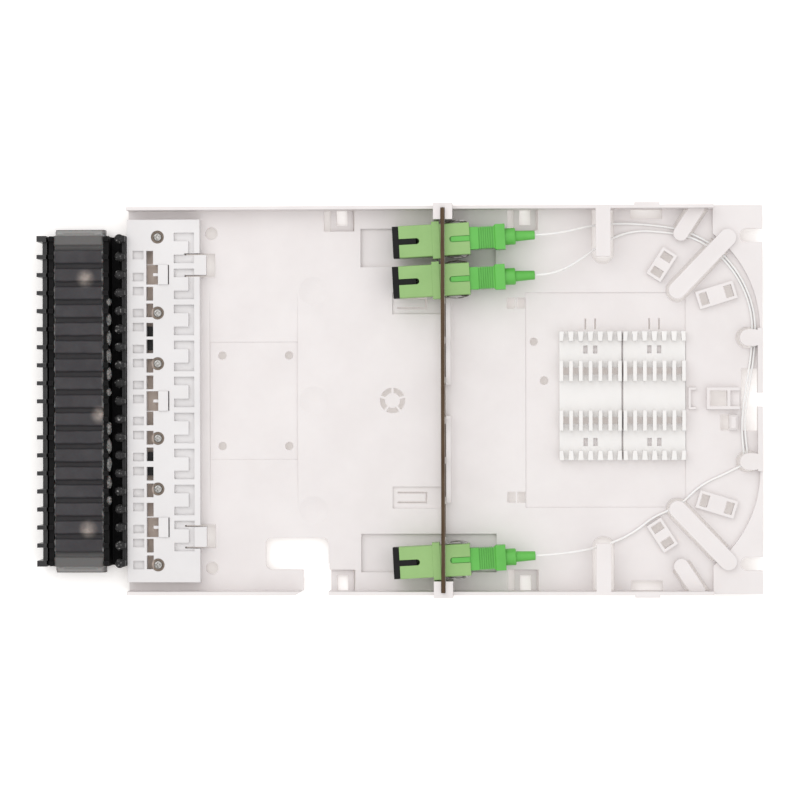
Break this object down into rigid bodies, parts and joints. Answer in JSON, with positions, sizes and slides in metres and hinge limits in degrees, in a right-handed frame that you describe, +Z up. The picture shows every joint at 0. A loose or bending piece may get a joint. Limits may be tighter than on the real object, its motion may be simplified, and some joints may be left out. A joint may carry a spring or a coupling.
{
  "type": "fibre splice closure",
  "caption": "Open fibre splice closure tray with gel cable seal, tie plate, SC adapter plate, splice holders and routed pigtails",
  "frame": {"origin": "centre of the bounding box's bottom face", "axes": "+X from the cable seal to the open splice end, +Y to the side with two adapters, +Z up"},
  "size_m": [0.2942, 0.1596, 0.022],
  "materials": {
    "white_plastic": "matte, warm white moulding",
    "black_plastic": "satin black moulding",
    "seal_gel": "smoked, slightly glossy gel",
    "screw_steel": "plain steel",
    "plate_metal": "satin brown coated sheet",
    "adapter_green": "satin light green",
    "latch_plastic": "matte black",
    "ceramic_white": "polished zirconia",
    "spring_steel": "bright spring steel",
    "cap_plastic": "soft matte black",
    "connector_green": "satin green",
    "fibre_white": "smooth white tight buffer"
  },
  "bodies": {
    "closure": {"base_tray": "white_plastic", "tie_plate": "white_plastic", "splice_holder_1": "white_plastic", "splice_holder_2": "white_plastic", "seal_channel": "black_plastic", "outer_seal_comb": "black_plastic", "inner_seal_comb": "black_plastic", "gel_block": "seal_gel", "tie_plate_screws": "screw_steel", "adapter_plate": "plate_metal", "adapter_housing_1": "adapter_green", "adapter_latch_holder_1": "latch_plastic", "split_sleeve_1": "ceramic_white", "adapter_spring_clip_1": "spring_steel", "connector_body_1": "connector_green", "ferrule_1": "ceramic_white", "connector_boot_1": "connector_green", "pigtail_1": "fibre_white", "adapter_housing_2": "adapter_green", "adapter_latch_holder_2": "latch_plastic", "split_sleeve_2": "ceramic_white", "adapter_spring_clip_2": "spring_steel", "connector_body_2": "connector_green", "ferrule_2": "ceramic_white", "connector_boot_2": "connector_green", "pigtail_2": "fibre_white", "adapter_housing_3": "adapter_green", "adapter_latch_holder_3": "latch_plastic", "split_sleeve_3": "ceramic_white", "adapter_spring_clip_3": "spring_steel", "connector_body_3": "connector_green", "ferrule_3": "ceramic_white", "connector_boot_3": "connector_green", "pigtail_3": "fibre_white"},
    "dust_cap_body_1": {"dust_cap_1": "cap_plastic"},
    "grip_body_1": {"connector_grip_1": "connector_green"},
    "dust_cap_body_2": {"dust_cap_2": "cap_plastic"},
    "grip_body_2": {"connector_grip_2": "connector_green"},
    "dust_cap_body_3": {"dust_cap_3": "cap_plastic"},
    "grip_body_3": {"connector_grip_3": "connector_green"}
  },
  "joints": [
    {"name": "dust_cap_pull_1", "type": "slide", "parent": "closure", "child": "dust_cap_body_1", "axis": [-0.9986, -0.0523, 0], "range_m": [0, 0.012]},
    {"name": "grip_push_pull_1", "type": "slide", "parent": "closure", "child": "grip_body_1", "axis": [0.9986, 0.0523, 0], "range_m": [0, 0.002]},
    {"name": "dust_cap_pull_2", "type": "slide", "parent": "closure", "child": "dust_cap_body_2", "axis": [-0.9986, -0.0523, 0], "range_m": [0, 0.012]},
    {"name": "grip_push_pull_2", "type": "slide", "parent": "closure", "child": "grip_body_2", "axis": [0.9986, 0.0523, 0], "range_m": [0, 0.002]},
    {"name": "dust_cap_pull_3", "type": "slide", "parent": "closure", "child": "dust_cap_body_3", "axis": [-0.9986, -0.0523, 0], "range_m": [0, 0.012]},
    {"name": "grip_push_pull_3", "type": "slide", "parent": "closure", "child": "grip_body_3", "axis": [0.9986, 0.0523, 0], "range_m": [0, 0.002]}
  ]
}
